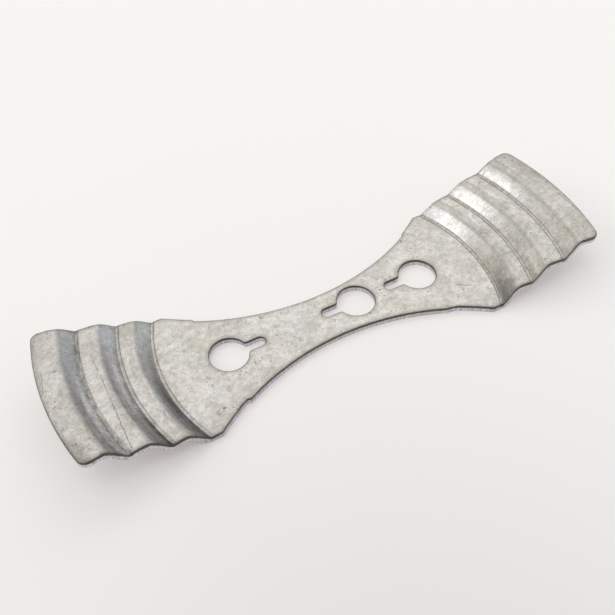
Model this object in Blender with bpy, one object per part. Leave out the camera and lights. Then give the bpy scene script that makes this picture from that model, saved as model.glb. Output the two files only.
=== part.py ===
"""Wick bar: one flat stamping of galvanised sheet with three keyholes and three raised rim steps at each end.

Metres, +Z up. The origin is under the middle of the flat web, on the table; +X runs along the bar, +Y across it.
"""
import math

import bpy
import bmesh
import numpy as np
from mathutils import Vector
from mathutils.geometry import delaunay_2d_cdt

MM = 0.001

# ---- sizes, all in millimetres -------------------------------------------------------------------------------------
HALF_LENGTH = 57.0            # centre to the middle of the curved end edge
HALF_WIDTH = 15.15            # of an end pad, on average; its sides are drawn in a little at every crest
SIDE_WAVE = ((33.5, 0.12), (36.1, 0.14), (37.2, 0.02), (38.2, -0.12), (39.3, -0.20), (40.4, -0.10), (42.44, 0.12),
             (43.5, 0.02), (44.6, -0.12), (45.7, -0.20), (46.9, -0.10), (49.56, 0.14), (50.7, 0.02), (51.8, -0.12),
             (52.8, -0.16), (54.2, 0.06), (55.6, 0.22))   # radius, how far the side stands out there
SHEET = 1.5                   # sheet thickness
WAIST_HALF = 5.67             # half width at the narrowest point
WAIST_RADIUS = 53.1           # radius of the two scallops
WAIST_SHIFT = -0.45           # the scallop punches sit this far off the middle line
WAIST_END = 24.8              # where the scallops and the flared sides meet, on average
FLARE_START = 11.73           # half width of the flared side at that point
FLARE_HOLLOW = 0.09           # how far the flared side is hollowed
CORNER_X = 30.4               # where the flared side meets the parallel side
CORNER_ROUND = 0.9
# the two punches don't quite meet: where the flared side stops, and over what length the edge goes over to the scallop,
# by side (+Y is 1) and end (+X is 1)
MEETING = {(1, 1): (25.60, 0.65), (1, -1): (25.05, 0.20), (-1, 1): (24.40, 3.10), (-1, -1): (23.70, 1.20)}

CREASE = (36.10, 42.44, 49.56)  # radii of the three creases about the middle of the bar
STEP_RISE = 3.05              # height gained at each step
RISER_ANGLE = 47.0            # slope of the straight part of a riser, in degrees
CREST_RADIUS = 3.2            # rounding from the riser over to the tread, on the top face
COIN_WIDTH = 0.75             # the pressed line along the foot of each riser
COIN_DEPTH = 0.10
COIN_RAMP = 0.16
COIN_FADE = 0.9
END_ROUND = 1.8               # corner rounding of the end pads, in plan

HOLE_RADIUS = 3.95
SLOT_WIDTH = 2.1
NECK_ROUND = 0.8
# centre of the round hole x and y, then x of the blind end of its slot and y of the slot's middle
KEYHOLES = ((-22.1, 0.24, -14.25, 0.20), (6.65, 0.18, -1.25, 0.25), (21.8, 0.28, 13.85, 0.40))

ACROSS = 18                   # facets across an end pad
PROFILE_TOL = 0.022           # how closely the facets follow the step profile
PAD_START = CREASE[0] - 1.45  # inside this radius the sheet is flat on both faces

TILT = math.radians(RISER_ANGLE)
STRAIGHT = (STEP_RISE - CREST_RADIUS * (1 - math.cos(TILT))) / math.tan(TILT)   # plan length of the straight part
RISER_RUN = STRAIGHT + CREST_RADIUS * math.sin(TILT)                            # and of the whole riser


def base_height(r):
    """Height of the top face at distance r from the middle of the bar, without the pressed lines."""
    z = SHEET
    for a in CREASE:
        if r <= a:
            return z
        if r - a < STRAIGHT:
            return z + (r - a) * math.tan(TILT)
        left = max(0.0, a + RISER_RUN - r)
        z += STEP_RISE - (CREST_RADIUS - math.sqrt(CREST_RADIUS ** 2 - left * left))
    return z


def coin_depth(r):
    """Depth of the narrow line that the punch presses along the foot of each riser."""
    for a in CREASE:
        if 0 <= a - r < COIN_WIDTH:
            return COIN_DEPTH * min(1.0, (COIN_WIDTH - (a - r)) / COIN_RAMP)
        if 0 < r - a < COIN_FADE:
            return COIN_DEPTH * (1 - (r - a) / COIN_FADE)
    return 0.0


def sheet_profile():
    """Radii with the heights of both faces. The lower face is the upper one offset by the sheet's thickness."""
    step = 0.025
    n = round((HALF_LENGTH - PAD_START + 4.0) / step)
    r = PAD_START - 2.0 + step * np.arange(n + 1)
    base = np.array([base_height(min(x, HALF_LENGTH)) for x in r])
    low = np.full(len(r), np.inf)
    reach = round(SHEET / step)
    for k in range(-reach, reach + 1):
        drop = math.sqrt(max(0.0, SHEET ** 2 - (k * step) ** 2))
        low = np.minimum(low, np.roll(base, -k) - drop)
    top = base - np.array([coin_depth(x) for x in r])
    keep = (r >= PAD_START - 1e-9) & (r <= HALF_LENGTH + 1e-9)
    return r[keep], top[keep], np.maximum(low[keep], 0.0)


def pick_stations(r, top, low, tol, fixed):
    """Fewest radii whose straight facets stay within tol of both faces."""
    marks = sorted({int(np.argmin(abs(r - x))) for x in fixed} | {0, len(r) - 1})
    chosen = set(marks)
    todo = list(zip(marks[:-1], marks[1:]))
    while todo:
        a, b = todo.pop()
        if b - a < 2:
            continue
        s = (r[a:b + 1] - r[a]) / (r[b] - r[a])
        err = np.maximum(abs(top[a:b + 1] - top[a] - s * (top[b] - top[a])),
                         abs(low[a:b + 1] - low[a] - s * (low[b] - low[a])))
        k = a + int(np.argmax(err))
        if err.max() > tol:
            chosen.add(k)
            todo += [(a, k), (k, b)]
    return sorted(chosen)


def side_half_width(r):
    """Half width of a pad at radius r, eased from one mark of the table to the next."""
    for (ra, wa), (rb, wb) in zip(SIDE_WAVE[:-1], SIDE_WAVE[1:]):
        if r < rb:
            t = max(0.0, (r - ra) / (rb - ra))
            return HALF_WIDTH + wa + (wb - wa) * t * t * (3 - 2 * t)
    return HALF_WIDTH + SIDE_WAVE[-1][1]


def end_corner():
    """Centre of the rounded corner of an end pad."""
    rc = HALF_LENGTH - END_ROUND
    yc = HALF_WIDTH + SIDE_WAVE[-1][1] - END_ROUND
    return math.sqrt(rc * rc - yc * yc), yc


def pad_half_width(r):
    """Half the chord of an end pad at radius r, with the rounded corner."""
    xc, yc = end_corner()
    if r <= math.hypot(xc, yc + END_ROUND):
        return side_half_width(r)
    d = math.hypot(xc, yc)
    c = (r * r + d * d - END_ROUND ** 2) / (2 * r * d)
    ang = math.atan2(yc, xc) + math.acos(max(-1.0, min(1.0, c)))
    return r * math.sin(ang)


def scallop(x, side):
    y = WAIST_HALF + WAIST_RADIUS - math.sqrt(WAIST_RADIUS ** 2 - x * x)
    return side * y + WAIST_SHIFT


def flank(side, end):
    """Edge of one flared side, from the pad's parallel side to the scallop, as distances (x, y) from the middle."""
    wide = side_half_width(CORNER_X)
    slope = math.atan2(wide - FLARE_START, CORNER_X - WAIST_END)
    cut = CORNER_ROUND * math.tan(slope / 2)
    cx, cy = CORNER_X + cut, wide - CORNER_ROUND
    pts = []
    for k in range(4):                        # rounded corner between the parallel side and the flare
        a = math.pi / 2 + slope * k / 3
        pts.append((cx + CORNER_ROUND * math.cos(a), cy + CORNER_ROUND * math.sin(a)))
    x0, y0 = pts[-1]

    def flare(x):
        q = (x0 - x) / (x0 - WAIST_END)
        return y0 + (FLARE_START - y0) * q - FLARE_HOLLOW * 4 * q * (1 - q)

    stop, run = MEETING[side, end]
    for k in range(1, 6):
        x = x0 + (stop - x0) * k / 5
        pts.append((x, flare(x)))
    n = 4 if run > 0.4 else 1
    for k in range(1, n + 1):
        x, t = stop - run * k / n, (k / n) ** 2 * (3 - 2 * k / n)
        pts.append((x, flare(x) + (side * scallop(x, side) - flare(x)) * t))
    return pts


def side_path(side):
    """Edge of the web from the right pad to the left pad, on the +Y (side 1) or -Y (side -1) edge."""
    right = [(x, side * y) for x, y in flank(side, 1)]
    left = [(-x, side * y) for x, y in reversed(flank(side, -1))]
    n = 30
    mid = []
    for k in range(1, n):
        x = right[-1][0] + (left[0][0] - right[-1][0]) * k / n
        mid.append((x, scallop(x, side)))
    return right + mid + left


def keyhole(hx, hy, xe, slot_y):
    """Closed outline of a keyhole: round hole, rounded neck, slot with a round blind end."""
    way, dy = 1 if xe > hx else -1, slot_y - hy
    s = SLOT_WIDTH / 2
    necks = []
    for sg in (1, -1):
        yf = dy + sg * (s + NECK_ROUND)
        xf = math.sqrt((HOLE_RADIUS + NECK_ROUND) ** 2 - yf * yf)
        necks.append((xf, yf))
    (xu, yu), (xl, yl) = necks
    au, al = math.atan2(yu, xu), math.atan2(yl, xl)
    pts = []
    n = 36
    for k in range(n + 1):                    # round the hole, the long way
        a = au + (2 * math.pi + al - au) * k / n
        pts.append((HOLE_RADIUS * math.cos(a), HOLE_RADIUS * math.sin(a)))
    for k in range(1, 5):                     # lower neck
        a0, a1 = al + math.pi, math.pi / 2
        a = a0 + (a1 - a0) * k / 4
        pts.append((xl + NECK_ROUND * math.cos(a), yl + NECK_ROUND * math.sin(a)))
    ex = abs(xe - hx) - s
    for k in range(9):                        # round end of the slot
        a = -math.pi / 2 + math.pi * k / 8
        pts.append((ex + s * math.cos(a), dy + s * math.sin(a)))
    for k in range(4):                        # upper neck, back to the hole
        a0, a1 = -math.pi / 2, au - math.pi
        a = a0 + (a1 - a0) * k / 4
        pts.append((xu + NECK_ROUND * math.cos(a), yu + NECK_ROUND * math.sin(a)))
    pts = [(hx + way * x, hy + y) for x, y in pts]
    return pts


def inside(p, loop):
    x, y = p
    hit = False
    for (x0, y0), (x1, y1) in zip(loop, loop[1:] + loop[:1]):
        if (y0 > y) != (y1 > y) and x < (x1 - x0) * (y - y0) / (y1 - y0) + x0:
            hit = not hit
    return hit


def plan_faces():
    """Points (x, y, station height pair) and faces of the part seen from above."""
    r, top, low = sheet_profile()
    xc, yc = end_corner()
    corner = [math.hypot(xc + END_ROUND * math.cos(a), yc + END_ROUND * math.sin(a))
              for a in np.linspace(math.pi / 2, math.atan2(yc, xc), 6)]
    fixed = list(CREASE) + [a + RISER_RUN for a in CREASE] + [a - COIN_WIDTH for a in CREASE] + corner
    idx = pick_stations(r, top, low, PROFILE_TOL, fixed)
    points, heights, faces = [], [], []
    index = {}

    def add(x, y, zt, zl):
        key = (round(x, 5), round(y, 5))
        if key not in index:
            index[key] = len(points)
            points.append((x, y))
            heights.append((zt, zl))
        return index[key]

    for way in (1, -1):
        rows = []
        for j in idx:
            w = pad_half_width(r[j])
            row = []
            for i in range(ACROSS + 1):
                y = w * (2 * i / ACROSS - 1)
                row.append(add(way * math.sqrt(r[j] ** 2 - y * y), y, float(top[j]), float(low[j])))
            rows.append(row)
        for a, b in zip(rows[:-1], rows[1:]):
            for i in range(ACROSS):
                q = (a[i], b[i], b[i + 1], a[i + 1])
                faces.append(q if way == 1 else q[::-1])
    # the flat web between the two pads
    right = [points[k] for k in (index[(round(math.sqrt(PAD_START ** 2 - y * y), 5), round(y, 5))]
                                 for y in (pad_half_width(PAD_START) * (2 * i / ACROSS - 1)
                                           for i in range(ACROSS + 1)))]
    left = [(-x, y) for x, y in reversed(right)]
    outline = right + side_path(1) + left + list(reversed(side_path(-1)))
    holes = [keyhole(*k) for k in KEYHOLES]
    loops = [outline] + holes
    verts = [Vector(p) for loop in loops for p in loop]
    edges, base = [], 0
    for loop in loops:
        n = len(loop)
        edges += [(base + k, base + (k + 1) % n) for k in range(n)]
        base += n
    vs, _, tris, _, _, _ = delaunay_2d_cdt(verts, edges, [], 0, 1e-7)
    for tri in tris:
        c = (sum(vs[k].x for k in tri) / 3, sum(vs[k].y for k in tri) / 3)
        if inside(c, outline) and not any(inside(c, h) for h in holes):
            ids = [add(vs[k].x, vs[k].y, SHEET, 0.0) for k in tri]
            a, b, c3 = (points[k] for k in ids)
            turn = (b[0] - a[0]) * (c3[1] - a[1]) - (b[1] - a[1]) * (c3[0] - a[0])
            if abs(turn) > 1e-9 and len(set(ids)) == 3:
                faces.append(tuple(ids) if turn > 0 else tuple(reversed(ids)))
    return points, heights, faces


def sheet_metal():
    mat = bpy.data.materials.new("galvanised_steel")
    mat.use_nodes = True
    bsdf = mat.node_tree.nodes["Principled BSDF"]
    bsdf.inputs["Base Color"].default_value = (0.60, 0.60, 0.57, 1.0)
    bsdf.inputs["Metallic"].default_value = 0.9
    bsdf.inputs["Roughness"].default_value = 0.42
    return mat


def build():
    for ob in list(bpy.data.objects):
        bpy.data.objects.remove(ob, do_unlink=True)
    points, heights, faces = plan_faces()
    bm = bmesh.new()
    upper = [bm.verts.new((x * MM, y * MM, zt * MM)) for (x, y), (zt, _) in zip(points, heights)]
    lower = [bm.verts.new((x * MM, y * MM, zl * MM)) for (x, y), (_, zl) in zip(points, heights)]
    border = {}
    for f in faces:
        bm.faces.new([upper[k] for k in f])
        bm.faces.new([lower[k] for k in reversed(f)])
        for a, b in zip(f, f[1:] + f[:1]):
            if (b, a) in border:
                del border[(b, a)]
            else:
                border[(a, b)] = True
    for a, b in border:
        bm.faces.new([upper[b], upper[a], lower[a], lower[b]])
    bmesh.ops.recalc_face_normals(bm, faces=bm.faces)
    mesh = bpy.data.meshes.new("wick_bar")
    bm.to_mesh(mesh)
    bm.free()
    for poly in mesh.polygons:
        poly.use_smooth = True
    mesh.set_sharp_from_angle(angle=math.radians(32))
    ob = bpy.data.objects.new("wick_bar", mesh)
    bpy.context.scene.collection.objects.link(ob)
    mesh.materials.append(sheet_metal())
    return ob


build()
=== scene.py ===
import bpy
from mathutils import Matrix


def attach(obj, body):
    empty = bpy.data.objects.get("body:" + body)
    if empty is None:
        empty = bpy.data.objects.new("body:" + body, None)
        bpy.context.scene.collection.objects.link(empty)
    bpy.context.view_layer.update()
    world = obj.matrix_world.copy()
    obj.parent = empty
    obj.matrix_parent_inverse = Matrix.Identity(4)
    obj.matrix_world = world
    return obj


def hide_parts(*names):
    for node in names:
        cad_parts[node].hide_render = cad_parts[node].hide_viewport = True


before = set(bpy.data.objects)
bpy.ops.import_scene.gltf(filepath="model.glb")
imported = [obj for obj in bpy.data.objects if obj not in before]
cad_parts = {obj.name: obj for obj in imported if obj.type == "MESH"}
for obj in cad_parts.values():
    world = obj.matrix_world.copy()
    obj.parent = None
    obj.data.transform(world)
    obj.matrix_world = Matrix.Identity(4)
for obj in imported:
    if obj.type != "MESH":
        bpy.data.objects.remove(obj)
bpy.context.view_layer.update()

# Finished look of the wick bar, in metres, in the frame of the CAD part. One stamped sheet: its fine mesh has rolled
# punch edges, a burnished and torn cut face, pressed crease lines and slight waviness; the zinc coat is procedural.
import math

import bpy
import numpy as np
from mathutils import Matrix, Vector
from mathutils.geometry import delaunay_2d_cdt

MM = 0.001

# ---- the part's sizes in millimetres, the same as in the CAD --------------------------------------------------------
HALF_LENGTH, HALF_WIDTH, SHEET = 57.0, 15.15, 1.5
SIDE_WAVE = ((33.5, 0.12), (36.1, 0.14), (37.2, 0.02), (38.2, -0.12), (39.3, -0.20), (40.4, -0.10), (42.44, 0.12),
             (43.5, 0.02), (44.6, -0.12), (45.7, -0.20), (46.9, -0.10), (49.56, 0.14), (50.7, 0.02), (51.8, -0.12),
             (52.8, -0.16), (54.2, 0.06), (55.6, 0.22))
WAIST_HALF, WAIST_RADIUS, WAIST_SHIFT, WAIST_END = 5.67, 53.1, -0.45, 24.8
FLARE_START, FLARE_HOLLOW, CORNER_X, CORNER_ROUND = 11.73, 0.09, 30.4, 0.9
MEETING = {(1, 1): (25.60, 0.65), (1, -1): (25.05, 0.20), (-1, 1): (24.40, 3.10), (-1, -1): (23.70, 1.20)}
CREASE = (36.10, 42.44, 49.56)
STEP_RISE, TILT, CREST_RADIUS = 3.05, math.radians(47.0), 3.2
COIN_WIDTH, COIN_DEPTH, COIN_RAMP, COIN_FADE = 0.75, 0.10, 0.16, 0.9
END_ROUND = 1.8
HOLE_RADIUS, SLOT_WIDTH, NECK_ROUND = 3.95, 2.1, 0.8
KEYHOLES = ((-22.1, 0.24, -14.25, 0.20), (6.65, 0.18, -1.25, 0.25), (21.8, 0.28, 13.85, 0.40))

# ---- finer things that only the finished model has ------------------------------------------------------------------
ZINC_CLEAN, ZINC_WARM = (0.423, 0.425, 0.436, 1), (0.410, 0.398, 0.392, 1)
ZINC_OLIVE, DARK_MARKS_AND_SHADE, CUT_STEEL = (0.352, 0.350, 0.326, 1), (0.085, 0.085, 0.08, 1), (0.70, 0.65, 0.68, 1)
# painted shade and painted light along a crease, bands where the sheet's colour is made darker or lighter: which end,
# which crease, how far beyond it the middle lies and the half width, y where it starts and where it is full, how much
# lighter (or darker) the sheet is painted there
CREASE_SHADE_AND_LIGHT = (
    (-1, 0, 0.55, 1.05, 5.0, -7.0, -0.54), (-1, 0, 2.75, 0.80, 20.0, 19.0, 0.16), (-1, 0, 2.75, 0.80, 8.0, -6.0, 0.26),
    (-1, 1, 0.75, 0.80, 9.0, 2.0, 0.50), (-1, 1, 0.45, 1.00, -3.0, -12.0, -0.85), (-1, 1, 2.00, 0.75, 9.0, 2.0, -0.15),
    (-1, 1, 2.75, 0.60, 4.0, -8.0, 0.24), (-1, 2, 0.48, 0.75, 8.0, -6.0, 0.80), (-1, 2, 1.75, 0.65, 9.0, -5.0, -0.34),
    (-1, 0, 3.80, 1.00, 20.0, 19.0, -0.11), (-1, 1, 3.80, 1.00, 20.0, 19.0, -0.13), (-1, 2, 3.70, 1.00, 20.0, 19.0, -0.12),
    (-1, 0, -0.35, 0.50, 20.0, 19.0, -0.14), (-1, 1, -0.35, 0.50, 20.0, 19.0, -0.19), (-1, 2, -0.24, 0.50, 20.0, 19.0, -0.48),
    (-1, 2, 6.60, 2.20, -7.0, -12.0, -0.28),
    (1, 0, 0.90, 2.00, -1.0, -13.0, -0.36), (1, 1, 1.20, 1.70, 3.0, -4.0, -0.13), (1, 1, 1.30, 0.80, -8.0, -11.0, 0.36),
    (1, 2, 1.85, 0.70, -12.0, -5.0, -0.16),
    (1, 0, 3.70, 1.00, 8.0, 2.0, -0.12), (1, 1, 3.70, 1.00, 8.0, 2.0, -0.13), (1, 2, 3.90, 1.10, 20.0, 19.0, -0.10),
    (1, 2, 6.30, 2.60, -2.0, 4.0, -0.13), (1, 0, -0.30, 0.40, 4.0, -6.0, -0.20), (1, 1, -0.25, 0.35, 14.0, 6.0, -0.10),
)
ROLL, ROLL_DROP, ROLL_POWER = 0.22, 0.42, 2.5   # the punch rolls the upper edge over, this wide and this deep
BURNISH = 0.08                    # share of the cut face below it that the punch leaves smooth
TEAR_IN, TEAR_ROUGH = 0.035, 0.022  # the torn band below it steps in and is rough
UNDER_ROUND = 0.07
COLUMNS = 60                      # facets across an end pad
WEB_GRID = 0.46
PAD_START = CREASE[0] - 1.45
WAVE = 0.030                      # most that the rolled sheet waves, downwards only
rng = np.random.default_rng(20)


def smooth(t):
    t = np.clip(t, 0.0, 1.0)
    return t * t * (3 - 2 * t)


# ---- step profile ---------------------------------------------------------------------------------------------------
STRAIGHT = (STEP_RISE - CREST_RADIUS * (1 - math.cos(TILT))) / math.tan(TILT)
RISER_RUN = STRAIGHT + CREST_RADIUS * math.sin(TILT)


def base_height(r):
    z = np.full(np.shape(r), SHEET)
    for a in CREASE:
        left = np.clip(a + RISER_RUN - r, 0, CREST_RADIUS * math.sin(TILT))
        bent = STEP_RISE - (CREST_RADIUS - np.sqrt(CREST_RADIUS ** 2 - left * left))
        z = z + np.where(r <= a, 0.0, np.where(r - a < STRAIGHT, (r - a) * math.tan(TILT), bent))
    return z


def coin_depth(r):
    d = np.zeros(np.shape(r))
    for a in CREASE:
        s = a - r
        d = d + np.where(s >= 0, smooth((COIN_WIDTH - s) / COIN_RAMP),
                         np.clip(1 + s / COIN_FADE, 0, 1)) * COIN_DEPTH
    return d


FINE = 0.01
fine_r = np.arange(PAD_START - 4.0, HALF_LENGTH + 4.0, FINE)
fine_base = base_height(np.minimum(fine_r, HALF_LENGTH))
fine_low = np.full(len(fine_r), np.inf)
for k in range(-150, 151):
    fine_low = np.minimum(fine_low, np.roll(fine_base, -k) - math.sqrt(max(0.0, SHEET ** 2 - (k * FINE) ** 2)))
fine_low = np.maximum(fine_low, 0.0)
bell = np.exp(-0.5 * (np.arange(-45, 46) / 14.0) ** 2)
fine_low = np.convolve(np.pad(fine_low, 45, mode="edge"), bell / bell.sum(), mode="valid")
fine_top = fine_base - coin_depth(fine_r)


def top_at(r):
    return np.interp(r, fine_r, fine_top)


def low_at(r):
    return np.interp(r, fine_r, fine_low)


def stations(first, last, tol, widest, fixed):
    """Radii whose straight facets stay within tol of the profile and are no further apart than widest."""
    keep = (fine_r >= first - 1e-9) & (fine_r <= last + 1e-9)
    r, z, zl = fine_r[keep], fine_top[keep], fine_low[keep]
    marks = sorted({int(np.argmin(abs(r - x))) for x in fixed if first <= x <= last} | {0, len(r) - 1})
    chosen, todo = set(marks), list(zip(marks[:-1], marks[1:]))
    while todo:
        a, b = todo.pop()
        if b - a < 3:
            continue
        s = (r[a:b + 1] - r[a]) / (r[b] - r[a])
        err = np.maximum(abs(z[a:b + 1] - z[a] - s * (z[b] - z[a])),
                         0.4 * abs(zl[a:b + 1] - zl[a] - s * (zl[b] - zl[a])))
        if err.max() > tol:
            k = a + int(np.argmax(err))
        elif r[b] - r[a] > widest:
            k = (a + b) // 2
        else:
            continue
        if k in (a, b):
            k = (a + b) // 2
        chosen.add(k)
        todo += [(a, k), (k, b)]
    return r[sorted(chosen)]


# ---- gentle waviness of the sheet and a few dings, all below the CAD's upper face -----------------------------------
waves = [(rng.uniform(0, 2 * math.pi), 2 * math.pi / lam, rng.uniform(0, 2 * math.pi), amp)
         for lam, amp in ((31, 1.0), (23, 0.9), (17, 0.8), (13, 0.6), (9.5, 0.5), (7.3, 0.42), (5.9, 0.34), (4.3, 0.2))]
wave_sum = sum(w[3] for w in waves)
DINGS = ((-28.3, -10.8, 0.55, 0.055), (-17.1, 2.9, 0.40, 0.035), (-17.8, -6.0, 0.35, 0.03), (-0.1, -2.3, 0.35, 0.03),
         (-6.9, 4.2, 0.4, 0.03), (28.2, -7.0, 1.1, 0.03), (-12.7, 5.3, 0.6, 0.035), (43.5, -13.2, 0.5, 0.04),
         (-31.0, 7.4, 1.6, 0.03), (30.3, 6.2, 1.4, 0.028), (-8.5, -1.6, 1.3, 0.02), (-24.0, 9.0, 1.2, 0.025))


def sag(x, y):
    """How far the finished upper face lies below the CAD's."""
    d = sum(a * np.sin(k * (x * math.cos(t) + y * math.sin(t)) + p) for t, k, p, a in waves)
    d = WAVE * 0.5 * (1 + d / wave_sum)
    for cx, cy, rad, dep in DINGS:
        d = d + dep * np.exp(-((x - cx) ** 2 + (y - cy) ** 2) / (rad * rad))
    return d


# ---- outline --------------------------------------------------------------------------------------------------------
def side_half_width(r):
    for (ra, wa), (rb, wb) in zip(SIDE_WAVE[:-1], SIDE_WAVE[1:]):
        if r < rb:
            return HALF_WIDTH + wa + (wb - wa) * float(smooth((r - ra) / (rb - ra)))
    return HALF_WIDTH + SIDE_WAVE[-1][1]


corner_r, corner_y = HALF_LENGTH - END_ROUND, HALF_WIDTH + SIDE_WAVE[-1][1] - END_ROUND
corner_x = math.sqrt(corner_r ** 2 - corner_y ** 2)


def pad_half_width(r, inset=0.0):
    er = END_ROUND - inset
    if r <= math.hypot(corner_x, corner_y + er):
        return side_half_width(r) - inset
    d = math.hypot(corner_x, corner_y)
    c = (r * r + d * d - er ** 2) / (2 * r * d)
    return r * math.sin(math.atan2(corner_y, corner_x) + math.acos(max(-1.0, min(1.0, c))))


def pad_normal(x, y):
    """Outward direction in plan at a point of an end pad's edge."""
    ax, ay = abs(x), abs(y)
    a = math.atan2(ay - corner_y, ax - corner_x)
    if ax <= corner_x + 1e-6 and ay > corner_y:
        r = math.hypot(ax, ay)
        lean = (side_half_width(r + 0.1) - side_half_width(r - 0.1)) / 0.2 * ax / r
        n = (-lean / math.hypot(1, lean), 1 / math.hypot(1, lean))
    elif ay > corner_y - 1e-6 and a >= math.atan2(corner_y, corner_x):
        n = (math.cos(a), math.sin(a))
    else:
        n = (ax / math.hypot(ax, ay), ay / math.hypot(ax, ay))
    return n[0] * (1 if x > 0 else -1), n[1] * (1 if y > 0 else -1)


wide = side_half_width(CORNER_X)
slope = math.atan2(wide - FLARE_START, CORNER_X - WAIST_END)
bend_x = CORNER_X + CORNER_ROUND * math.tan(slope / 2)
bend_y = wide - CORNER_ROUND
flare_x = bend_x - CORNER_ROUND * math.sin(slope)
flare_y = bend_y + CORNER_ROUND * math.cos(slope)


def edge_height(x, side):
    """Distance of the web's edge from the middle line at x."""
    ax = abs(x)
    if ax >= bend_x:
        return wide
    if ax >= flare_x:
        return bend_y + math.sqrt(CORNER_ROUND ** 2 - (ax - bend_x) ** 2)
    q = (flare_x - ax) / (flare_x - WAIST_END)
    flare = flare_y + (FLARE_START - flare_y) * q - FLARE_HOLLOW * 4 * q * (1 - q)
    stop, run = MEETING[side, 1 if x > 0 else -1]
    if ax >= stop:
        return flare
    bow = WAIST_HALF + WAIST_RADIUS - math.sqrt(WAIST_RADIUS ** 2 - ax * ax) + side * WAIST_SHIFT
    t = float(smooth((stop - ax) / run))
    return flare + (bow - flare) * t if t < 1 else bow


def side_path(side, start):
    """Points (x, y) and outward directions along one long edge of the web, from x = start to -start."""
    fine = np.arange(start, -start - 1e-9, -0.01)
    y = np.array([edge_height(x, side) for x in fine])
    dy = np.gradient(y, fine)
    bell = np.exp(-0.5 * (np.arange(-90, 91) / 30.0) ** 2)
    dy = np.convolve(np.pad(dy, 90, mode="edge"), bell / bell.sum(), mode="valid")
    pick, k = [0], 0
    while k < len(fine) - 1:
        ax = abs(fine[k])
        stop, run = MEETING[side, 1 if fine[k] > 0 else -1]
        near = min(max(0, abs(ax - (stop - run / 2)) - run / 2), abs(ax - bend_x + 0.2))
        k += 5 if near < 0.35 else (12 if near < 0.9 else 36)
        pick.append(min(k, len(fine) - 1))
    pts, nrm = [], []
    for k in pick:
        n = np.array([-dy[k], 1.0])
        n /= np.linalg.norm(n)
        pts.append((fine[k], side * y[k]))
        nrm.append((n[0], side * n[1]))
    return pts, nrm


def keyhole(hx, hy, xe, slot_y):
    """Clockwise outline of a keyhole, with directions out of the metal."""
    way, dy = 1 if xe > hx else -1, slot_y - hy
    s = SLOT_WIDTH / 2
    (xu, yu), (xl, yl) = [(math.sqrt((HOLE_RADIUS + NECK_ROUND) ** 2 - (dy + g * (s + NECK_ROUND)) ** 2),
                           dy + g * (s + NECK_ROUND)) for g in (1, -1)]
    au, al = math.atan2(yu, xu), math.atan2(yl, xl)
    out = []
    for a in np.linspace(au, 2 * math.pi + al, 92):
        out.append((HOLE_RADIUS * math.cos(a), HOLE_RADIUS * math.sin(a), -math.cos(a), -math.sin(a)))
    for a in np.linspace(al + math.pi, math.pi / 2, 9)[1:]:
        out.append((xl + NECK_ROUND * math.cos(a), yl + NECK_ROUND * math.sin(a), math.cos(a), math.sin(a)))
    ex = abs(xe - hx) - s
    for x in np.linspace(xl, ex, 12)[1:-1]:
        out.append((x, dy - s, 0.0, 1.0))
    for a in np.linspace(-math.pi / 2, math.pi / 2, 17):
        out.append((ex + s * math.cos(a), dy + s * math.sin(a), -math.cos(a), -math.sin(a)))
    for x in np.linspace(ex, xu, 12)[1:-1]:
        out.append((x, dy + s, 0.0, -1.0))
    for a in np.linspace(-math.pi / 2, au - math.pi, 9)[:-1]:
        out.append((xu + NECK_ROUND * math.cos(a), yu + NECK_ROUND * math.sin(a), math.cos(a), math.sin(a)))
    out = [(hx + way * x, hy + y, way * nx, ny) for x, y, nx, ny in out]
    area = sum(a[0] * b[1] - b[0] * a[1] for a, b in zip(out, out[1:] + out[:1]))
    return out[::-1] if area > 0 else out


def inside(px, py, loop):
    hit = np.zeros(len(px), bool)
    for (x0, y0), (x1, y1) in zip(loop, loop[1:] + loop[:1]):
        if y0 != y1:
            hit ^= ((y0 > py) != (y1 > py)) & (px < (x1 - x0) * (py - y0) / (y1 - y0) + x0)
    return hit


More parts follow.
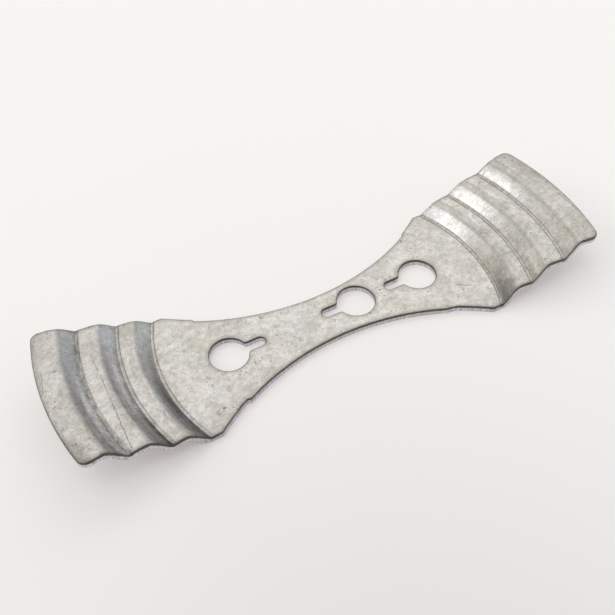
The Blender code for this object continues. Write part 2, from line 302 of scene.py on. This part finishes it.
# ---- plan of the sheet inside its rolled edges: points, faces, and the border loops ---------------------------------
def sheet_plan():
    corner = [math.hypot(corner_x + (END_ROUND - ROLL) * math.cos(a), corner_y + (END_ROUND - ROLL) * math.sin(a))
              for a in np.linspace(math.pi / 2, math.atan2(corner_y, corner_x), 14)]
    fixed = list(CREASE) + [a + RISER_RUN for a in CREASE] + [a - COIN_WIDTH for a in CREASE] + corner
    rs = stations(PAD_START, HALF_LENGTH - ROLL, 0.0028, 0.45, fixed)
    pts, faces = [], []

    def add(x, y):
        pts.append((float(x), float(y)))
        return len(pts) - 1

    rows = {}
    for way in (1, -1):
        rows[way] = []
        for r in rs:
            w = pad_half_width(float(r), ROLL)
            rows[way].append([add(way * math.sqrt(r * r - y * y), y)
                              for y in (w * (2 * i / COLUMNS - 1) for i in range(COLUMNS + 1))])
        for a, b in zip(rows[way][:-1], rows[way][1:]):
            for i in range(COLUMNS):
                q = (a[i], b[i], b[i + 1], a[i + 1])
                faces.append(q if way == 1 else q[::-1])
    last = len(rs) - 1
    start = math.sqrt(rs[0] ** 2 - pad_half_width(float(rs[0])) ** 2)
    sides = {}
    for side in (1, -1):
        p, n = side_path(side, start)
        ids = [rows[1][0][COLUMNS if side == 1 else 0]]
        ids += [add(x - ROLL * nx, y - ROLL * ny) for (x, y), (nx, ny) in zip(p[1:-1], n[1:-1])]
        ids += [rows[-1][0][COLUMNS if side == 1 else 0]]
        sides[side] = (ids, n)
    web_loop = rows[1][0][:-1] + sides[1][0][:-1] + rows[-1][0][::-1][:-1] + sides[-1][0][::-1][:-1]
    normals = {}
    for way in (1, -1):
        for row in rows[way]:
            for k in (row[0], row[-1]):
                normals[k] = pad_normal(*pts[k])
        for k in rows[way][last]:
            normals[k] = pad_normal(*pts[k])
    for ids, n in sides.values():
        for k, d in list(zip(ids, n))[1:-1]:
            normals[k] = d
    outer = [rows[1][j][0] for j in range(last)] + rows[1][last]
    outer += [rows[1][j][COLUMNS] for j in range(last - 1, 0, -1)] + sides[1][0][:-1]
    outer += [rows[-1][j][COLUMNS] for j in range(last)] + rows[-1][last][::-1]
    outer += [rows[-1][j][0] for j in range(last - 1, 0, -1)] + sides[-1][0][::-1][:-1]
    hole_loops = []
    for spec in KEYHOLES:
        ids = []
        for x, y, nx, ny in keyhole(*spec):
            ids.append(add(x - ROLL * nx, y - ROLL * ny))
            normals[ids[-1]] = (nx, ny)
        hole_loops.append(ids)
    loops = [web_loop] + hole_loops
    border = np.array([pts[k] for loop in loops for k in loop])
    polys = [[pts[k] for k in loop] for loop in loops]
    # a jittered triangular grid fills the web
    gx, gy, j = [], [], 0
    y = -HALF_WIDTH
    while y < HALF_WIDTH:
        x = -PAD_START + (WEB_GRID / 2 if j % 2 else 0)
        while x < PAD_START:
            gx.append(x)
            gy.append(y)
            x += WEB_GRID
        y += WEB_GRID * 0.866
        j += 1
    gx = np.array(gx) + rng.uniform(-0.05, 0.05, len(gx))
    gy = np.array(gy) + rng.uniform(-0.05, 0.05, len(gy))
    ok = inside(gx, gy, polys[0])
    for p in polys[1:]:
        ok &= ~inside(gx, gy, p)
    gx, gy = gx[ok], gy[ok]
    gap = np.array([np.min((border[:, 0] - a) ** 2 + (border[:, 1] - b) ** 2) for a, b in zip(gx, gy)])
    inner = [add(a, b) for a, b, g in zip(gx, gy, gap) if g > (0.62 * WEB_GRID) ** 2]
    ids = [k for loop in loops for k in loop] + inner
    edges, base = [], 0
    for loop in loops:
        edges += [(base + k, base + (k + 1) % len(loop)) for k in range(len(loop))]
        base += len(loop)
    vs, _, tris, orig, _, _ = delaunay_2d_cdt([Vector(pts[k]) for k in ids], edges, [], 0, 1e-8)
    back = [ids[o[0]] if o else add(v.x, v.y) for v, o in zip(vs, orig)]
    mid = np.array([[sum(vs[k].x for k in t) / 3, sum(vs[k].y for k in t) / 3] for t in tris])
    ok = inside(mid[:, 0], mid[:, 1], polys[0])
    for p in polys[1:]:
        ok &= ~inside(mid[:, 0], mid[:, 1], p)
    for t, good in zip(tris, ok):
        if good:
            a, b, c = (back[k] for k in t)
            turn = ((pts[b][0] - pts[a][0]) * (pts[c][1] - pts[a][1])
                    - (pts[b][1] - pts[a][1]) * (pts[c][0] - pts[a][0]))
            if abs(turn) > 1e-9:
                faces.append((a, b, c) if turn > 0 else (a, c, b))
    return pts, faces, [outer] + hole_loops, normals


# ---- the sheet as a closed mesh -------------------------------------------------------------------------------------
def noise_ring(n, cells):
    """Smooth random numbers round a loop of n points."""
    knots = rng.normal(size=cells)
    t = np.arange(n) / n * cells
    a = np.floor(t).astype(int)
    f = smooth(t - a)
    return knots[a % cells] * (1 - f) + knots[(a + 1) % cells] * f


def build_sheet():
    pts, faces, loops, normals = sheet_plan()
    n = len(pts)
    xy = np.array(pts)
    r = np.hypot(xy[:, 0], xy[:, 1])
    flat_sag = sag(xy[:, 0], xy[:, 1])
    upper = np.column_stack([xy, top_at(r) - flat_sag])
    under_wave = 0.010 * (1 + np.sin(xy[:, 0] * 0.61 + 1.0) * np.cos(xy[:, 1] * 0.83))
    lower = np.column_stack([xy, low_at(r) + np.where(r > PAD_START, under_wave, 0.4 * under_wave)])
    verts = [upper, lower]
    count = 2 * n
    wall_at, edge_at = [np.zeros(2 * n)], [np.full(2 * n, 9.0)]
    all_faces = [tuple(f) for f in faces] + [tuple(k + n for k in reversed(f)) for f in faces]
    span = HALF_LENGTH * 2

    def plan_uv(k, low):
        x, y = xy[k]
        u = 0.006 + 0.988 * (x + HALF_LENGTH) / span
        v = (y + HALF_WIDTH + 0.3) / (2 * HALF_WIDTH + 0.6)
        return (u, 0.412 + 0.582 * v) if not low else (u, 0.126 + 0.278 * v)

    uvs = [[plan_uv(k, False) for k in f] for f in faces] + [[plan_uv(k, True) for k in reversed(f)] for f in faces]
    strip = 0
    for which, loop in enumerate(loops):
        m = len(loop)
        p = xy[loop]
        d = np.array([normals[k] for k in loop])
        nxt = np.roll(p, -1, axis=0)
        run = np.concatenate([[0.0], np.cumsum(np.hypot(*(nxt - p).T))])
        full = run[-1]
        torn = 0.55 * noise_ring(m, int(full / 0.9)) + 0.45 * noise_ring(m, int(full / 0.35))
        fine = noise_ring(m, int(full / 0.45))
        edge_wave = 1 + 0.10 * noise_ring(m, int(full / 6)) + 0.06 * noise_ring(m, int(full / 1.3))
        land = np.clip(1 + 0.25 * noise_ring(m, int(full / 2.4)) + 0.15 * noise_ring(m, int(full / 0.7)), 0.45, 1.7)
        # on the end pads the land reaches further down the wall, and with it the painted dark reflection
        land = np.minimum(land * np.where(np.hypot(*p.T) > PAD_START, 2.3, 1.0), 3.0)
        rows = []  # (outward offset, what the height is)
        for a in (0.25, 0.45, 0.6, 0.72, 0.82, 0.9, 0.96, 1.0):
            drop = 1 - (1 - a ** ROLL_POWER) ** (1 / ROLL_POWER)
            rows.append((ROLL * a, "top", ROLL_DROP * drop, 0.0))
        rows += [(ROLL, "mix", BURNISH * 0.5, 0.0), (ROLL, "mix", BURNISH * 0.9, 0.0), (ROLL, "mix", BURNISH, 0.15),
                 (ROLL, "mix", BURNISH + 0.06, 1.0), (ROLL, "mix", 0.45, 1.0), (ROLL, "mix", 0.64, 1.0),
                 (ROLL, "mix", 0.80, 1.0), (ROLL, "mix", 0.92, 0.9)]
        for a in (0, 45, 90):
            t = math.radians(a)
            rows.append((ROLL - 0.02 - UNDER_ROUND * (1 - math.cos(t)), "low", UNDER_ROUND * (1 - math.sin(t)), 0.5))
        ring = [np.array(loop)]
        for no, (off, kind, h, rough) in enumerate(rows):
            o = np.full(m, off)
            if rough:
                o = o - rough * (TEAR_IN + TEAR_ROUGH * np.clip(torn + 0.5 * math.sin(2.1 * no) * fine, -1.5, 1.5))
            q = p + d * o[:, None]
            rq = np.hypot(q[:, 0], q[:, 1])
            t, b = top_at(rq) - flat_sag[loop], low_at(rq)
            if kind == "top":
                z = t - h * edge_wave
            elif kind == "low":
                z = b + h
            else:
                lo, hi = b + UNDER_ROUND, t - ROLL_DROP * edge_wave
                z = hi + (lo - hi) * (h * land if h < BURNISH + 0.1 else h)
            verts.append(np.column_stack([q, np.maximum(z, 0.0)]))
            ring.append(np.arange(count, count + m))
            count += m
            # the lowest rows take less of the light cut-face colour: a painted shade line at the foot of the wall
            bright = {"top": 0.0, "mix": float(h > BURNISH + 0.03), "low": max(0.0, 0.7 - 10 * (UNDER_ROUND - h))}[kind]
            wall_at.append(np.full(m, bright))
            edge_at.append(np.full(m, -off))
        ring.append(np.array(loop) + n)
        length = [0.0]
        for a, b in zip(ring[:-1], ring[1:]):
            pa = np.vstack(verts)[a[0]]
            pb = np.vstack(verts)[b[0]]
            length.append(length[-1] + float(np.linalg.norm(pa - pb)))
        parts = 3 if which == 0 else 1
        for i in range(m):
            j = (i + 1) % m
            part = min(parts - 1, int(run[i] / full * parts)) if parts > 1 else 0
            if parts > 1:
                row_v, u0, u1 = strip + part, full * part / parts, full * (part + 1) / parts
                ua = 0.006 + 0.982 * (run[i] - u0) / (u1 - u0 + 1.0)
                ub = 0.006 + 0.982 * (run[i + 1] - u0) / (u1 - u0 + 1.0)
            else:
                row_v = 3
                u0 = 0.006 + 0.332 * (which - 1)
                ua = u0 + 0.322 * run[i] / full
                ub = u0 + 0.322 * run[i + 1] / full
            v0 = 0.006 + 0.030 * row_v
            for k in range(len(ring) - 1):
                va = v0 + 0.023 * (1 - length[k] / length[-1])
                vb = v0 + 0.023 * (1 - length[k + 1] / length[-1])
                all_faces.append((int(ring[k][i]), int(ring[k + 1][i]), int(ring[k + 1][j]), int(ring[k][j])))
                uvs.append([(ua, va), (ua, vb), (ub, vb), (ub, va)])
        if which == 0:
            strip = 3
    verts = np.vstack(verts)
    mesh = bpy.data.meshes.new("wick_bar_finished")
    mesh.from_pydata((verts * MM).tolist(), [], all_faces)
    layer = mesh.uv_layers.new(name="OFBake")
    layer.data.foreach_set("uv", np.array([c for f in uvs for c in f], np.float32).ravel())
    mesh.polygons.foreach_set("use_smooth", np.ones(len(mesh.polygons), bool))
    # how much a place takes the cut face's light colour (the lowest rows less, for a painted shade line at the foot of
    # the wall), and how far it is from the nearest edge in millimetres
    border = np.vstack([xy[loop] for loop in loops])
    far = np.array([math.sqrt(np.min((border[:, 0] - a) ** 2 + (border[:, 1] - b) ** 2)) for a, b in xy])
    edge = np.concatenate(edge_at)
    edge[:n] = edge[n:2 * n] = far
    wall = np.concatenate(wall_at)
    for name, values in (("cut_face_and_foot_shade", wall), ("edge_gap", np.clip(edge, -ROLL, 6.0))):
        mesh.attributes.new(name, "FLOAT", "POINT").data.foreach_set("value", values.astype(np.float32))
    mesh.update()
    return mesh


# ---- materials ------------------------------------------------------------------------------------------------------
class Nodes:
    """Short helpers for building a node tree."""

    def __init__(self, tree):
        self.tree = tree

    def new(self, kind, **settings):
        node = self.tree.nodes.new(kind)
        for key, value in settings.items():
            setattr(node, key, value)
        return node

    def put(self, socket, value):
        if isinstance(value, bpy.types.NodeSocket):
            self.tree.links.new(value, socket)
        elif value is not None:
            socket.default_value = value

    def math(self, op, a, b=None, c=None, clamp=False):
        node = self.new("ShaderNodeMath", operation=op, use_clamp=clamp)
        for socket, value in zip(node.inputs, (a, b, c)):
            self.put(socket, value)
        return node.outputs[0]

    def ramp(self, value, a, b, lo=0.0, hi=1.0, soft=True):
        node = self.new("ShaderNodeMapRange", interpolation_type="SMOOTHSTEP" if soft else "LINEAR")
        for name, v in (("Value", value), ("From Min", a), ("From Max", b), ("To Min", lo), ("To Max", hi)):
            self.put(node.inputs[name], v)
        return node.outputs[0]

    def noise(self, where, scale, detail=2.0, rough=0.5, distort=0.0):
        node = self.new("ShaderNodeTexNoise")
        for name, v in (("Vector", where), ("Scale", scale), ("Detail", detail), ("Roughness", rough),
                        ("Distortion", distort)):
            self.put(node.inputs[name], v)
        return node.outputs[0]

    def cells(self, where, scale, feature="F1", output="Distance", random=1.0):
        node = self.new("ShaderNodeTexVoronoi", feature=feature)
        for name, v in (("Vector", where), ("Scale", scale), ("Randomness", random)):
            self.put(node.inputs[name], v)
        return node.outputs[output]

    def noise_vector(self, where, scale):
        node = self.new("ShaderNodeTexNoise")
        self.put(node.inputs["Vector"], where)
        node.inputs["Scale"].default_value = scale
        return node.outputs["Color"]

    def vector(self, op, a, b=None, scale=None, out="Vector"):
        node = self.new("ShaderNodeVectorMath", operation=op)
        self.put(node.inputs[0], a)
        if b is not None:
            self.put(node.inputs[1], b)
        if scale is not None:
            self.put(node.inputs["Scale"], scale)
        return node.outputs[out]

    def segment(self, where, a, b):
        """Distance from a point to the line between a and b."""
        along = tuple(q - p for p, q in zip(a, b))
        off = self.vector("SUBTRACT", where, a)
        t = self.math("MULTIPLY", self.vector("DOT_PRODUCT", off, along, out="Value"),
                      1 / sum(v * v for v in along), clamp=True)
        near = self.vector("SCALE", along, scale=t)
        return self.vector("LENGTH", self.vector("SUBTRACT", off, near), out="Value")

    def turned(self, where, angle):
        node = self.new("ShaderNodeVectorRotate", rotation_type="Z_AXIS")
        self.put(node.inputs["Vector"], where)
        node.inputs["Angle"].default_value = angle
        return node.outputs[0]

    def scale(self, colour, factor):
        return self.vector("SCALE", colour, scale=factor)

    def mix(self, amount, a, b):
        node = self.new("ShaderNodeMix", data_type="RGBA")
        self.put(node.inputs[0], amount)
        self.put(node.inputs[6], a)
        self.put(node.inputs[7], b)
        return node.outputs[2]


# faint marks of use in plan, millimetres: x, y of both ends, half width, how dark
SCRATCHES = (
    (-46.35, 7.4, -46.15, 3.9, 0.07, 0.55), (-46.1, 2.8, -46.2, -4.0, 0.07, 0.60), (-46.2, -4.2, -46.3, -14.3, 0.09, 0.75),
    (-29.0, -0.2, -26.4, -0.45, 0.10, 0.30), (38.6, -6.1, 42.2, -6.3, 0.10, 0.35), (27.4, -6.2, 29.2, -7.6, 0.16, 0.40),
    (-55.4, 6.0, -56.3, 1.5, 0.12, 0.40), (55.9, -1.2, 56.1, -6.6, 0.16, 0.40), (-19.5, 6.9, -17.2, 6.6, 0.08, 0.22),
    (31.2, 4.5, 33.0, 6.4, 0.07, 0.22), (-52.8, -9.4, -53.9, -11.8, 0.07, 0.25), (16.6, -5.6, 18.9, -5.9, 0.08, 0.22),
)
# small pits and specks: x, y, radius, how dark
PITS = (
    (-28.3, -10.8, 0.32, 0.85), (-29.2, -11.3, 0.75, 0.40), (-25.5, -7.2, 0.85, 0.26), (-12.7, 5.3, 0.42, 0.62),
    (-17.1, 2.9, 0.26, 0.65), (-17.8, -6.0, 0.26, 0.65), (-0.1, -2.3, 0.24, 0.65), (-6.9, 4.2, 0.22, 0.55),
    (43.5, -13.2, 0.34, 0.65), (27.8, -7.6, 0.55, 0.30), (36.0, -12.0, 1.30, 0.24), (-54.6, -3.0, 0.30, 0.50),
    (-55.3, -7.2, 0.38, 0.50), (-56.0, 3.6, 0.30, 0.45), (-40.9, -9.8, 0.28, 0.45), (49.0, 3.2, 0.30, 0.40),
    (-53.6, -12.4, 0.50, 0.55), (-54.5, -11.1, 0.40, 0.45), (-52.5, -13.2, 0.40, 0.50), (56.0, 5.2, 0.40, 0.50),
    (56.2, 3.0, 0.45, 0.50), (55.5, 6.6, 0.36, 0.45), (31.6, -2.2, 0.24, 0.45), (-31.2, 6.4, 0.26, 0.40), (14.6, 5.2, 0.22, 0.40), (53.6, 8.0, 0.26, 0.40),
)


def zinc_sheet():
    mat = bpy.data.materials.new("galvanised_sheet")
    mat.use_nodes = True
    tree = mat.node_tree
    bsdf = tree.nodes["Principled BSDF"]
    g = Nodes(tree)
    pos = g.vector("SCALE", g.new("ShaderNodeTexCoord").outputs["Object"], scale=1000.0)   # millimetres
    plan = g.vector("MULTIPLY", pos, (1, 1, 0))
    reach = g.vector("LENGTH", plan, out="Value")
    cloud = g.noise(pos, 0.15, 3.0, 0.55)
    tint = g.noise(g.vector("ADD", pos, (31, 7, 0)), 0.19, 4.0, 0.62, 0.5)
    stain = g.noise(g.vector("ADD", pos, (-12, 43, 5)), 0.24, 4.0, 0.6, 0.3)
    mottle = g.noise(pos, 0.85, 4.0, 0.66, 0.3)
    grain = g.noise(pos, 3.4, 3.0, 0.65)
    wall = g.new("ShaderNodeAttribute", attribute_name="cut_face_and_foot_shade").outputs["Fac"]
    gap = g.new("ShaderNodeAttribute", attribute_name="edge_gap").outputs["Fac"]
    # zinc: bluish clean patches, beige and faintly olive weathered ones
    base = g.mix(g.ramp(tint, 0.38, 0.62), ZINC_CLEAN, ZINC_WARM)
    base = g.mix(g.ramp(stain, 0.56, 0.72, 0.0, 0.60), base, ZINC_OLIVE)
    scuff = g.noise(g.vector("MULTIPLY", g.turned(pos, 0.9), (1.0, 0.42, 1.0)), 1.7, 3.0, 0.7, 0.8)
    light = g.math("ADD", g.ramp(cloud, 0.36, 0.64, -0.060, 0.060), g.ramp(mottle, 0.32, 0.68, -0.080, 0.080))
    patch = g.ramp(g.noise(g.vector("ADD", pos, (57, -21, 9)), 0.42, 3.0, 0.6, 0.6), 0.42, 0.60)
    light = g.math("ADD", light, g.math("MULTIPLY_ADD", patch, 0.09, -0.045))
    light = g.math("ADD", light, g.ramp(grain, 0.32, 0.68, -0.075, 0.075))
    light = g.math("ADD", light, g.ramp(scuff, 0.34, 0.66, -0.055, 0.055))
    # painted shade: the sheet's colour is made dimmer toward the edges, and a thin painted dark line hugs them, half as
    # strong again on the end pads
    painted_edge_shade = g.math("MULTIPLY", g.ramp(gap, 1.0, 0.0), g.ramp(g.noise(pos, 0.5, 3.0, 0.6), 0.3, 0.6, 0.10, 0.24))
    light = g.math("SUBTRACT", light, painted_edge_shade)
    line = g.math("MULTIPLY", g.ramp(gap, 0.30, 0.02), g.ramp(g.noise(pos, 0.8, 3.0, 0.65), 0.32, 0.62, 0.10, 0.46))
    light = g.math("SUBTRACT", light, g.math("MULTIPLY", line, g.ramp(reach, 34.5, 36.5, 1.0, 1.5)))
    base = g.scale(base, g.math("ADD", light, 1.0))
    # the darkest places, the painted edge shade among them, lean olive
    base = g.mix(g.ramp(light, 0.0, -0.22, 0.0, 0.55), base, ZINC_OLIVE)
    base = g.mix(g.math("MULTIPLY", g.ramp(gap, 2.6, 0.2), g.ramp(stain, 0.42, 0.62, 0.0, 0.45)), base, ZINC_OLIVE)
    # painted shade: a thin dark line in the crease at the foot of each riser and a finer one at the coined step before
    # it
    crease_shade_lines = None
    for a in CREASE:
        for at, wide_at, depth in ((a - 0.03, 0.16, 0.62), (a - COIN_WIDTH + 0.08, 0.09, 0.30)):
            d = g.math("ABSOLUTE", g.math("SUBTRACT", reach, at))
            one = g.ramp(d, wide_at, wide_at * 0.2, 0.0, depth)
            crease_shade_lines = one if crease_shade_lines is None else g.math("MAXIMUM", crease_shade_lines, one)
    crease_shade_lines = g.math("MULTIPLY", crease_shade_lines, g.ramp(g.noise(pos, 0.9, 3.0, 0.6), 0.28, 0.62, 0.45, 1.0))
    # painted shade and painted light along the creases, in patches
    apart = g.new("ShaderNodeSeparateXYZ")
    g.put(apart.inputs[0], pos)
    right_end = g.math("GREATER_THAN", apart.outputs[0], 0.0)
    ends = {1: right_end, -1: g.math("SUBTRACT", 1.0, right_end)}
    wander = g.math("ADD", reach, g.ramp(g.noise(pos, 0.6, 3.0, 0.6), 0.3, 0.7, -0.16, 0.16))
    crease_paint = {1: 1.0, -1: 1.0}
    for end, k, mid, half, y0, y1, amount in CREASE_SHADE_AND_LIGHT:
        off = g.math("ABSOLUTE", g.math("SUBTRACT", wander, CREASE[k] + mid))
        there = g.ramp(off, half, half * 0.15, 0.0, amount)
        if y0 < 20:
            there = g.math("MULTIPLY", there, g.ramp(apart.outputs[1], y0, y1))
        crease_paint[end] = g.math("ADD", crease_paint[end], there)
    patchy = g.ramp(g.noise(pos, 0.7, 3.0, 0.6), 0.28, 0.62, 0.70, 1.22)
    crease_paint_sum = g.math("MULTIPLY", g.math("SUBTRACT", g.math("ADD", g.math("MULTIPLY", crease_paint[1], ends[1]),
                                                        g.math("MULTIPLY", crease_paint[-1], ends[-1])), 1.0), patchy)
    base = g.scale(base, g.math("MAXIMUM", g.math("ADD", crease_paint_sum, 1.0), 0.15))
    # specks in loose clusters, then scratches and pits
    speck = g.math("MULTIPLY", g.ramp(g.noise(g.vector("ADD", pos, (3, 90, 0)), 2.3, 2.0, 0.55), 0.615, 0.70),
                   g.ramp(g.noise(pos, 0.23, 2.0, 0.5), 0.40, 0.62, 0.15, 0.80))
    speck = g.math("MULTIPLY", speck, g.ramp(gap, 0.1, 3.0, 1.15, 0.75))
    # the painted crease shade joins the specks, scratches and pits in one dark mask
    dark = g.math("MAXIMUM", crease_shade_lines, speck)
    # fine marks of the press across the creases and along the end edges, all pointing away from the middle
    angle = g.math("ARCTAN2", apart.outputs[1], g.math("ABSOLUTE", apart.outputs[0]))
    polar = g.new("ShaderNodeCombineXYZ")
    for socket, value in zip(polar.inputs, (g.math("MULTIPLY", angle, 105.0), g.math("MULTIPLY", reach, 0.55),
                                            g.math("SIGN", apart.outputs[0]))):
        g.put(socket, value)
    streak = g.noise(polar.outputs[0], 1.0, 3.0, 0.65)
    pressed = g.ramp(reach, 54.3, 57.0, 0.0, 0.8)
    for a in CREASE:
        pressed = g.math("MAXIMUM", pressed, g.ramp(g.math("ABSOLUTE", g.math("SUBTRACT", reach, a)), 2.4, 0.2))
    pressed = g.math("MULTIPLY", pressed, g.ramp(cloud, 0.38, 0.60, 0.45, 1.0))
    dark = g.math("MAXIMUM", dark, g.math("MULTIPLY", g.ramp(streak, 0.52, 0.70, 0.0, 0.52), pressed))
    shaken = g.vector("ADD", plan, g.vector("MULTIPLY", g.vector("ADD", g.noise_vector(pos, 0.9), (-0.5, -0.5, 0)),
                                            (0.22, 0.22, 0)))
    broken = g.ramp(g.noise(pos, 1.3, 3.0, 0.7), 0.30, 0.55, 0.15, 1.0)
    for x0, y0, x1, y1, half, depth in SCRATCHES:
        d = g.segment(shaken, (x0, y0, 0), (x1, y1, 0))
        dark = g.math("MAXIMUM", dark, g.math("MULTIPLY", g.ramp(d, half * 1.5, half * 0.4, 0.0, depth), broken))
    spread = g.vector("ADD", plan, g.vector("MULTIPLY", g.vector("ADD", g.noise_vector(pos, 1.6), (-0.5, -0.5, 0)),
                                            (2.4, 2.4, 0)))
    crumbs = g.ramp(g.noise(pos, 2.0, 3.0, 0.6), 0.34, 0.58, 0.25, 1.0)
    for x0, y0, radius, depth in PITS:
        d = g.vector("LENGTH", g.vector("SUBTRACT", spread, (x0, y0, 0)), out="Value")
        dark = g.math("MAXIMUM", dark, g.math("MULTIPLY", g.ramp(d, radius * 1.3, radius * 0.3, 0.0, depth), crumbs))
    base = g.mix(dark, base, DARK_MARKS_AND_SHADE)
    # painted reflection: the rolled edge, the upper land and the foot of the wall are painted dark for the dark they
    # reflect; the torn part of the cut is light
    cut = g.ramp(wall, 0.05, 0.95)
    rolled = g.math("ADD", g.math("MULTIPLY", g.ramp(gap, 0.02, -0.12), 0.42),
                    g.math("MULTIPLY", g.ramp(gap, -0.12, -0.20), 0.48))
    base = g.mix(rolled, base, (0.07, 0.07, 0.075, 1))
    drag = g.noise(g.vector("MULTIPLY", pos, (1, 1, 0.12)), 2.6, 3.0, 0.7)
    base = g.mix(cut, base, g.scale(CUT_STEEL[:3], g.ramp(drag, 0.30, 0.66, 0.66, 1.12)))
    g.put(bsdf.inputs["Base Color"], base)
    bsdf.inputs["Metallic"].default_value = 1.0
    rough = g.math("ADD", g.ramp(mottle, 0.3, 0.7, 0.30, 0.24), g.math("MULTIPLY", cut, 0.16))
    rough = g.math("ADD", rough, g.math("MULTIPLY", dark, 0.12))
    g.put(bsdf.inputs["Roughness"], g.math("ADD", rough, g.ramp(gap, 0.9, 0.0, 0.0, 0.05)))
    bump = g.new("ShaderNodeBump")
    bump.inputs["Strength"].default_value = 0.30
    bump.inputs["Distance"].default_value = 0.00003
    height = g.math("ADD", mottle, g.math("MULTIPLY", g.math("ADD", grain, scuff), 0.5))
    g.put(bump.inputs["Height"], g.math("SUBTRACT", height, g.math("MULTIPLY", dark, 0.8)))
    g.put(bsdf.inputs["Normal"], bump.outputs[0])
    return mat


def floor_material():
    mat = bpy.data.materials.new("white_card")
    mat.use_nodes = True
    bsdf = mat.node_tree.nodes["Principled BSDF"]
    bsdf.inputs["Base Color"].default_value = (0.594, 0.620, 0.636, 1)
    bsdf.inputs["Roughness"].default_value = 0.9
    bsdf.inputs["Specular IOR Level"].default_value = 0.2
    bsdf.inputs["Emission Color"].default_value = (0.284, 0.249, 0.256, 1)   # a lit table top
    bsdf.inputs["Emission Strength"].default_value = 1.0
    return mat


# ---- scene ----------------------------------------------------------------------------------------------------------
def make_floor():
    mesh = bpy.data.meshes.new("floor")
    s = 3.0
    mesh.from_pydata([(-s, -s, 0), (s, -s, 0), (s, s, 0), (-s, s, 0)], [], [(0, 1, 2, 3)])
    ob = bpy.data.objects.new("floor", mesh)
    bpy.context.scene.collection.objects.link(ob)
    mesh.materials.append(floor_material())
    return ob


def make_camera():
    """The photograph's viewpoint, worked out from the part's own outline."""
    cam = bpy.data.cameras.new("camera")
    cam.sensor_width = 36.0
    cam.lens = CAMERA_LENS
    cam.clip_start, cam.clip_end = 0.005, 20.0
    ob = bpy.data.objects.new("camera", cam)
    right, down, ahead = (Vector(v) for v in CAMERA_AXES)
    turn = Matrix((right, -down, -ahead)).transposed()
    ob.matrix_world = Matrix.Translation(Vector(CAMERA_AT) * MM) @ turn.to_4x4()
    bpy.context.scene.collection.objects.link(ob)
    bpy.context.scene.camera = ob
    return ob


CAMERA_LENS = 45.5918
CAMERA_AT = (-50.4013, -88.2377, 123.5268)
CAMERA_AXES = ((0.8803106, -0.4741926, -0.0139495), (-0.3702473, -0.6683639, -0.6451408),
               (0.2965977, 0.5730891, -0.7639364))


# Soft light from all round: azimuth and elevation in degrees in the part's frame, how tight, and strength in red, green
# and blue. The wide ones are walls and ceiling, the tight one is a window.
AMBIENT = (0.01, 0.01, 0.01)
GLOWS = ((222, 75, 7.4, (2.862, 2.846, 2.607)), (163, 28, 84.5, (3.309, 3.335, 3.427)),
         (132, 24, 15.7, (1.516, 1.442, 1.256)), (9, 3, 12.8, (1.301, 1.373, 1.445)),
         (62, 47, 7.7, (2.767, 2.671, 2.468)), (177, 33, 26.9, (1.821, 1.782, 1.717)),
         (315, 11, 9.0, (1.05, 1.03, 1.00)))   # the last is for the views from behind
SHADES = ((72, 20, 11.9, 1.0), (38, 75, 18.3, 1.0))
BACKDROP = (0.86, 0.85, 0.84)


def towards(azimuth, elevation):
    a, e = math.radians(azimuth), math.radians(elevation)
    return Vector((math.cos(a) * math.cos(e), math.sin(a) * math.cos(e), math.sin(e)))


def room_light():
    world = bpy.data.worlds.new("room")
    bpy.context.scene.world = world
    world.use_nodes = True
    g = Nodes(world.node_tree)
    way = g.new("ShaderNodeTexCoord").outputs["Generated"]

    def glow(azimuth, elevation, tight):
        dot = g.new("ShaderNodeVectorMath", operation="DOT_PRODUCT")
        g.put(dot.inputs[0], way)
        dot.inputs[1].default_value = towards(azimuth, elevation)
        return g.math("EXPONENT", g.math("MULTIPLY_ADD", dot.outputs["Value"], tight, -tight))

    def vector(op, a, b):
        node = g.new("ShaderNodeVectorMath", operation=op)
        g.put(node.inputs[0], a)
        if op == "SCALE":
            g.put(node.inputs["Scale"], b)
        else:
            g.put(node.inputs[1], b)
        return node.outputs[0]

    total = None
    for azimuth, elevation, tight, colour in GLOWS:
        part = vector("SCALE", colour, glow(azimuth, elevation, tight))
        total = vector("ADD", part, AMBIENT if total is None else total)
    for azimuth, elevation, tight, depth in SHADES:
        total = vector("SCALE", total, g.math("MULTIPLY_ADD", glow(azimuth, elevation, tight), -depth, 1.0))
    lit = world.node_tree.nodes["Background"]
    g.put(lit.inputs["Color"], total)
    plain = g.new("ShaderNodeBackground")
    plain.inputs["Color"].default_value = (*BACKDROP, 1)
    seen = g.new("ShaderNodeMixShader")
    g.put(seen.inputs[0], g.new("ShaderNodeLightPath").outputs["Is Camera Ray"])
    g.put(seen.inputs[1], lit.outputs[0])
    g.put(seen.inputs[2], plain.outputs[0])
    g.put(world.node_tree.nodes["World Output"].inputs["Surface"], seen.outputs[0])
    return world


def make_flag(camera):
    """A dark card round the lens. It softens the light on the near side and is the dark that the near edges reflect."""
    m = camera.matrix_world
    right, up, back = (m.col[k].xyz for k in range(3))
    mid = m.translation + back * 0.004 - up * 0.040 + right * 0.005
    mesh = bpy.data.meshes.new("flag")
    mesh.from_pydata([tuple(mid + right * (a * 0.045) + up * (b * 0.080)) for a, b in ((-1, -1), (1, -1), (1, 1), (-1, 1))],
                     [], [(0, 1, 2, 3)])
    ob = bpy.data.objects.new("flag", mesh)
    bpy.context.scene.collection.objects.link(ob)
    mat = bpy.data.materials.new("black_card")
    mat.use_nodes = True
    mat.node_tree.nodes["Principled BSDF"].inputs["Base Color"].default_value = (0.04, 0.04, 0.04, 1)
    mesh.materials.append(mat)
    ob.visible_camera = False
    return ob


def main():
    mesh = build_sheet()
    bar = bpy.data.objects.new("wick_bar_finished", mesh)
    bpy.context.scene.collection.objects.link(bar)
    mesh.materials.append(zinc_sheet())
    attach(bar, "root")
    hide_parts("wick_bar")
    make_floor()
    make_flag(make_camera())
    room_light()
    bpy.context.scene.view_settings.view_transform = "Standard"
    print("sheet:", len(mesh.vertices), "vertices,", sum(len(p.vertices) - 2 for p in mesh.polygons), "triangles")


main()
